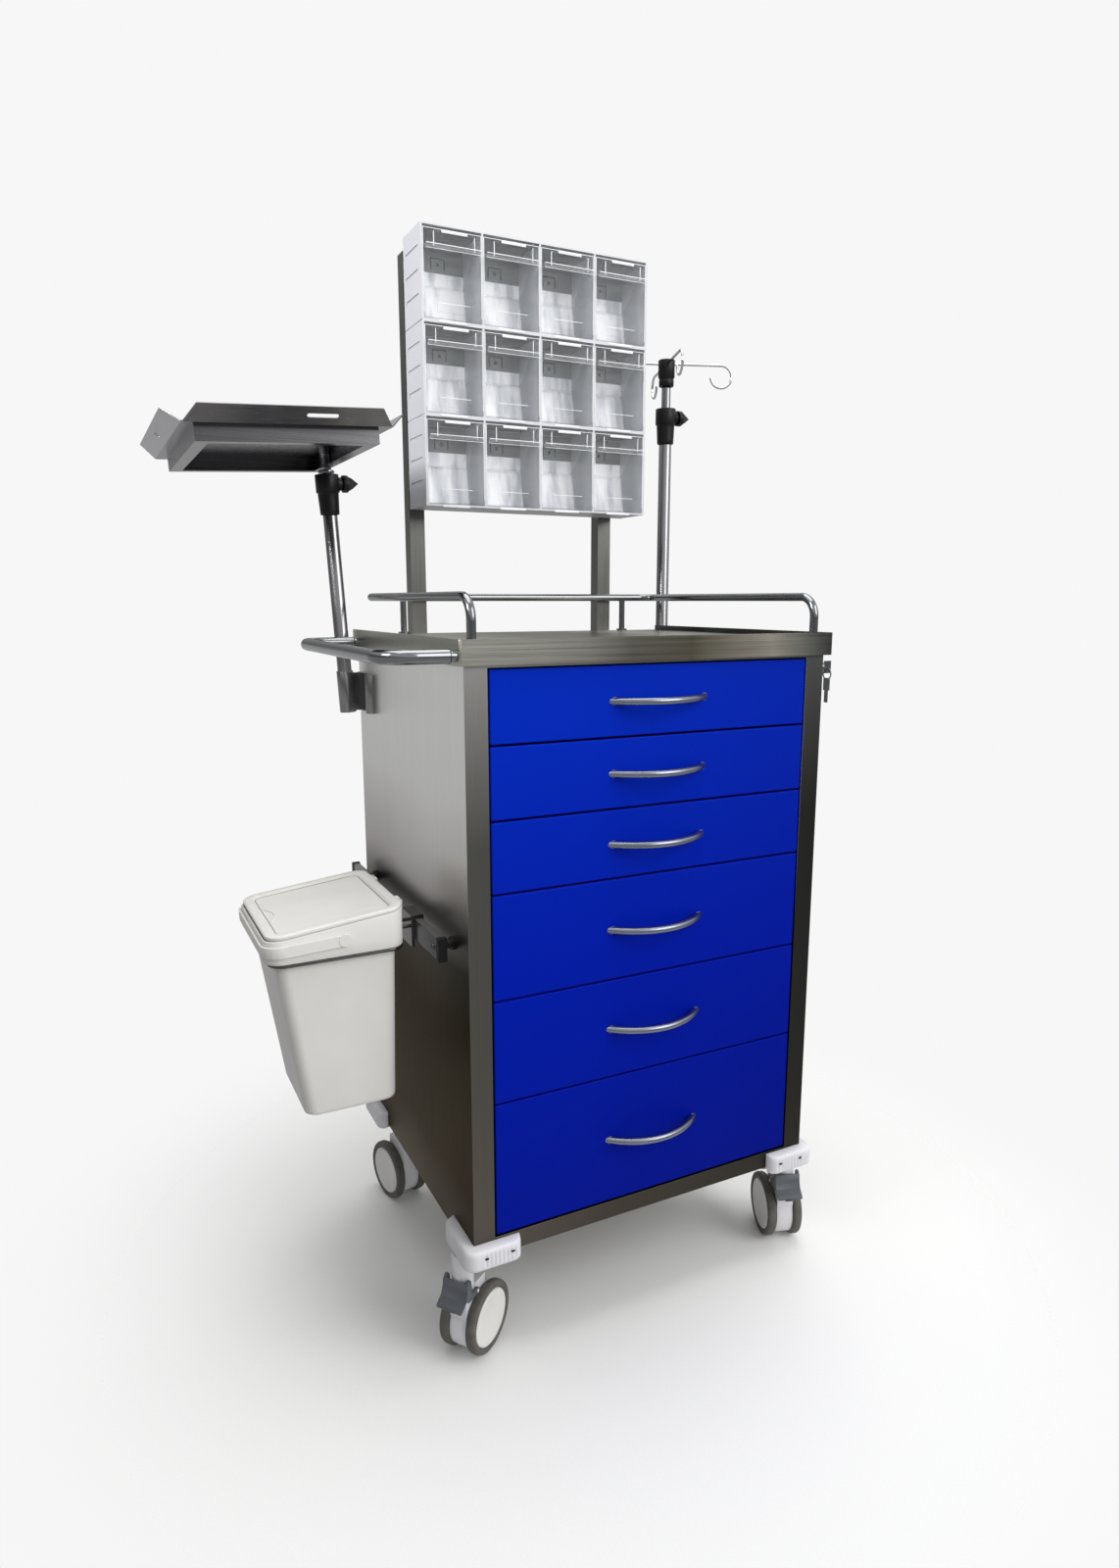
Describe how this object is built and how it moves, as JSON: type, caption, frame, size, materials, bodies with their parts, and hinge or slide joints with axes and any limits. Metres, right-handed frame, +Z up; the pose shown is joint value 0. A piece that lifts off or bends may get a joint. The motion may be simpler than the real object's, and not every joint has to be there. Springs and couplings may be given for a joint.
{
  "type": "medication cart",
  "caption": "Steel medication cart with blue drawers, guard-railed worktop, rack of clear tilt-out bins, infusion pole, swivel tray, side waste bin and twin-wheel casters.",
  "frame": {"origin": "on the floor under the middle of the cabinet", "axes": "+Z up; +X to the cart's right; the drawers open along -Y"},
  "size_m": [0.9892, 0.6107, 1.587],
  "materials": {
    "brushed_steel": "fine vertical brushing, satin",
    "bright_steel": "polished",
    "drawer_steel": "satin",
    "blue_paint": "semi-gloss powder coat",
    "clear_plastic": "clear, glossy",
    "white_plastic": "satin",
    "off_white_plastic": "fine satin texture",
    "black_plastic": "fine grain",
    "pedal_plastic": "satin",
    "tyre": "grey tread on light covers"
  },
  "bodies": {
    "cart": {"cabinet_shell": "brushed_steel", "base_frame": "brushed_steel", "worktop": "brushed_steel", "guard_rail": "bright_steel", "push_handle": "bright_steel", "drawer_runners": "bright_steel", "rack_uprights": "brushed_steel", "bin_housings": "white_plastic", "accessory_rail": "brushed_steel", "rail_fittings": "black_plastic", "corner_bumpers": "white_plastic", "pole_sockets": "brushed_steel", "pole_collars": "black_plastic", "lock_housing": "bright_steel", "fasteners": "bright_steel"},
    "drawer_1": {"drawer_1_front": "blue_paint", "drawer_1_box": "drawer_steel"},
    "drawer_2": {"drawer_2_front": "blue_paint", "drawer_2_box": "drawer_steel"},
    "drawer_3": {"drawer_3_front": "blue_paint", "drawer_3_box": "drawer_steel"},
    "drawer_4": {"drawer_4_front": "blue_paint", "drawer_4_box": "drawer_steel"},
    "drawer_5": {"drawer_5_front": "blue_paint", "drawer_5_box": "drawer_steel"},
    "drawer_6": {"drawer_6_front": "blue_paint", "drawer_6_box": "drawer_steel"},
    "bin_r1c1": {"tilt_bin_r1c1": "clear_plastic"},
    "bin_r1c2": {"tilt_bin_r1c2": "clear_plastic"},
    "bin_r1c3": {"tilt_bin_r1c3": "clear_plastic"},
    "bin_r1c4": {"tilt_bin_r1c4": "clear_plastic"},
    "bin_r2c1": {"tilt_bin_r2c1": "clear_plastic"},
    "bin_r2c2": {"tilt_bin_r2c2": "clear_plastic"},
    "bin_r2c3": {"tilt_bin_r2c3": "clear_plastic"},
    "bin_r2c4": {"tilt_bin_r2c4": "clear_plastic"},
    "bin_r3c1": {"tilt_bin_r3c1": "clear_plastic"},
    "bin_r3c2": {"tilt_bin_r3c2": "clear_plastic"},
    "bin_r3c3": {"tilt_bin_r3c3": "clear_plastic"},
    "bin_r3c4": {"tilt_bin_r3c4": "clear_plastic"},
    "caster_fl": {"caster_fl_fork": "white_plastic"},
    "wheels_fl": {"caster_fl_wheels": "tyre"},
    "pedal_fl": {"caster_fl_pedal": "pedal_plastic"},
    "caster_fr": {"caster_fr_fork": "white_plastic"},
    "wheels_fr": {"caster_fr_wheels": "tyre"},
    "pedal_fr": {"caster_fr_pedal": "pedal_plastic"},
    "caster_rl": {"caster_rl_fork": "white_plastic"},
    "wheels_rl": {"caster_rl_wheels": "tyre"},
    "caster_rr": {"caster_rr_fork": "white_plastic"},
    "wheels_rr": {"caster_rr_wheels": "tyre"},
    "iv_tube": {"iv_inner_tube": "bright_steel"},
    "iv_hooks": {"iv_hook_head": "black_plastic"},
    "iv_clamp_knob": {"iv_knob": "black_plastic"},
    "tray_post": {"tray_stem": "bright_steel"},
    "tray": {"tray": "brushed_steel"},
    "tray_clamp_knob": {"tray_knob": "black_plastic"},
    "bin_hoop": {"waste_hoop": "bright_steel"},
    "waste_bin": {"waste_bin": "off_white_plastic"},
    "bin_lid": {"waste_lid": "off_white_plastic"},
    "key": {"lock_key": "bright_steel"},
    "bin_handle": {"waste_handle": "off_white_plastic"}
  },
  "joints": [
    {"name": "drawer_1_slide", "type": "slide", "parent": "cart", "child": "drawer_1", "axis": [0, -1, 0], "range_m": [0, 0.34]},
    {"name": "drawer_2_slide", "type": "slide", "parent": "cart", "child": "drawer_2", "axis": [0, -1, 0], "range_m": [0, 0.34]},
    {"name": "drawer_3_slide", "type": "slide", "parent": "cart", "child": "drawer_3", "axis": [0, -1, 0], "range_m": [0, 0.34]},
    {"name": "drawer_4_slide", "type": "slide", "parent": "cart", "child": "drawer_4", "axis": [0, -1, 0], "range_m": [0, 0.34]},
    {"name": "drawer_5_slide", "type": "slide", "parent": "cart", "child": "drawer_5", "axis": [0, -1, 0], "range_m": [0, 0.34]},
    {"name": "drawer_6_slide", "type": "slide", "parent": "cart", "child": "drawer_6", "axis": [0, -1, 0], "range_m": [0, 0.34]},
    {"name": "bin_r1c1_tilt", "type": "hinge", "parent": "cart", "child": "bin_r1c1", "pos_m": [-0.13837, 0.1475, 1.4625], "axis": [1, 0, 0], "range_deg": [0, 45]},
    {"name": "bin_r1c2_tilt", "type": "hinge", "parent": "cart", "child": "bin_r1c2", "pos_m": [-0.04213, 0.1475, 1.4625], "axis": [1, 0, 0], "range_deg": [0, 45]},
    {"name": "bin_r1c3_tilt", "type": "hinge", "parent": "cart", "child": "bin_r1c3", "pos_m": [0.05412, 0.1475, 1.4625], "axis": [1, 0, 0], "range_deg": [0, 45]},
    {"name": "bin_r1c4_tilt", "type": "hinge", "parent": "cart", "child": "bin_r1c4", "pos_m": [0.15038, 0.1475, 1.4625], "axis": [1, 0, 0], "range_deg": [0, 45]},
    {"name": "bin_r2c1_tilt", "type": "hinge", "parent": "cart", "child": "bin_r2c1", "pos_m": [-0.13837, 0.1475, 1.3295], "axis": [1, 0, 0], "range_deg": [0, 45]},
    {"name": "bin_r2c2_tilt", "type": "hinge", "parent": "cart", "child": "bin_r2c2", "pos_m": [-0.04213, 0.1475, 1.3295], "axis": [1, 0, 0], "range_deg": [0, 45]},
    {"name": "bin_r2c3_tilt", "type": "hinge", "parent": "cart", "child": "bin_r2c3", "pos_m": [0.05412, 0.1475, 1.3295], "axis": [1, 0, 0], "range_deg": [0, 45]},
    {"name": "bin_r2c4_tilt", "type": "hinge", "parent": "cart", "child": "bin_r2c4", "pos_m": [0.15038, 0.1475, 1.3295], "axis": [1, 0, 0], "range_deg": [0, 45]},
    {"name": "bin_r3c1_tilt", "type": "hinge", "parent": "cart", "child": "bin_r3c1", "pos_m": [-0.13837, 0.1475, 1.1965], "axis": [1, 0, 0], "range_deg": [0, 45]},
    {"name": "bin_r3c2_tilt", "type": "hinge", "parent": "cart", "child": "bin_r3c2", "pos_m": [-0.04213, 0.1475, 1.1965], "axis": [1, 0, 0], "range_deg": [0, 45]},
    {"name": "bin_r3c3_tilt", "type": "hinge", "parent": "cart", "child": "bin_r3c3", "pos_m": [0.05412, 0.1475, 1.1965], "axis": [1, 0, 0], "range_deg": [0, 45]},
    {"name": "bin_r3c4_tilt", "type": "hinge", "parent": "cart", "child": "bin_r3c4", "pos_m": [0.15038, 0.1475, 1.1965], "axis": [1, 0, 0], "range_deg": [0, 45]},
    {"name": "caster_fl_swivel", "type": "hinge", "parent": "cart", "child": "caster_fl", "pos_m": [-0.281, -0.195, 0.16], "axis": [0, 0, 1], "continuous": true},
    {"name": "wheels_fl_spin", "type": "hinge", "parent": "caster_fl", "child": "wheels_fl", "pos_m": [-0.25754, -0.17795, 0.05], "axis": [-0.5878, 0.809, 0], "continuous": true},
    {"name": "pedal_fl_press", "type": "hinge", "parent": "caster_fl", "child": "pedal_fl", "pos_m": [-0.27453, -0.1903, 0.105], "axis": [0.5878, -0.809, 0], "range_deg": [0, 8]},
    {"name": "caster_fr_swivel", "type": "hinge", "parent": "cart", "child": "caster_fr", "pos_m": [0.281, -0.195, 0.16], "axis": [0, 0, 1], "continuous": true},
    {"name": "wheels_fr_spin", "type": "hinge", "parent": "caster_fr", "child": "wheels_fr", "pos_m": [0.29092, -0.16775, 0.05], "axis": [-0.9397, 0.342, 0], "continuous": true},
    {"name": "pedal_fr_press", "type": "hinge", "parent": "caster_fr", "child": "pedal_fr", "pos_m": [0.28374, -0.18748, 0.105], "axis": [0.9397, -0.342, 0], "range_deg": [0, 8]},
    {"name": "caster_rl_swivel", "type": "hinge", "parent": "cart", "child": "caster_rl", "pos_m": [-0.236, 0.195, 0.16], "axis": [0, 0, 1], "continuous": true},
    {"name": "wheels_rl_spin", "type": "hinge", "parent": "caster_rl", "child": "wheels_rl", "pos_m": [-0.24153, 0.22347, 0.05], "axis": [-0.9816, -0.1908, 0], "continuous": true},
    {"name": "caster_rr_swivel", "type": "hinge", "parent": "cart", "child": "caster_rr", "pos_m": [0.236, 0.195, 0.16], "axis": [0, 0, 1], "continuous": true},
    {"name": "wheels_rr_spin", "type": "hinge", "parent": "caster_rr", "child": "wheels_rr", "pos_m": [0.24962, 0.2206, 0.05], "axis": [-0.8829, 0.4695, 0], "continuous": true},
    {"name": "iv_height", "type": "slide", "parent": "cart", "child": "iv_tube", "axis": [0, 0, 1], "range_m": [0, 0.32]},
    {"name": "iv_hooks_turn", "type": "hinge", "parent": "iv_tube", "child": "iv_hooks", "pos_m": [0.2985, 0.232, 1.43], "axis": [0, 0, 1], "range_deg": [-28, 4]},
    {"name": "iv_knob_turn", "type": "hinge", "parent": "cart", "child": "iv_clamp_knob", "pos_m": [0.3295, 0.232, 1.368], "axis": [1, 0, 0], "range_deg": [0, 180]},
    {"name": "tray_height", "type": "slide", "parent": "cart", "child": "tray_post", "axis": [-0.0523, 0, 0.9986], "range_m": [0, 0.2]},
    {"name": "tray_swivel", "type": "hinge", "parent": "tray_post", "child": "tray", "pos_m": [-0.31828, 0.232, 1.24548], "axis": [-0.0523, 0, 0.9986], "range_deg": [-90, 5]},
    {"name": "tray_knob_turn", "type": "hinge", "parent": "cart", "child": "tray_clamp_knob", "pos_m": [-0.31703, 0.232, 1.22151], "axis": [0.9986, 0, 0.0523], "range_deg": [0, 180]},
    {"name": "bin_hoop_slide", "type": "slide", "parent": "cart", "child": "bin_hoop", "axis": [0, 1, 0], "range_m": [-0.07, 0.226]},
    {"name": "waste_bin_lift", "type": "slide", "parent": "bin_hoop", "child": "waste_bin", "axis": [0, 0, 1], "range_m": [0, 0.1]},
    {"name": "bin_lid_hinge", "type": "hinge", "parent": "waste_bin", "child": "bin_lid", "pos_m": [-0.337, -0.078, 0.66], "axis": [0, 1, 0], "range_deg": [0, 80]},
    {"name": "key_turn", "type": "hinge", "parent": "cart", "child": "key", "pos_m": [0.285, -0.22, 0.949], "axis": [1, 0, 0], "range_deg": [0, 90]},
    {"name": "bin_handle_swing", "type": "hinge", "parent": "waste_bin", "child": "bin_handle", "pos_m": [-0.42, -0.078, 0.631], "axis": [0, 1, 0], "range_deg": [0, 95]}
  ]
}
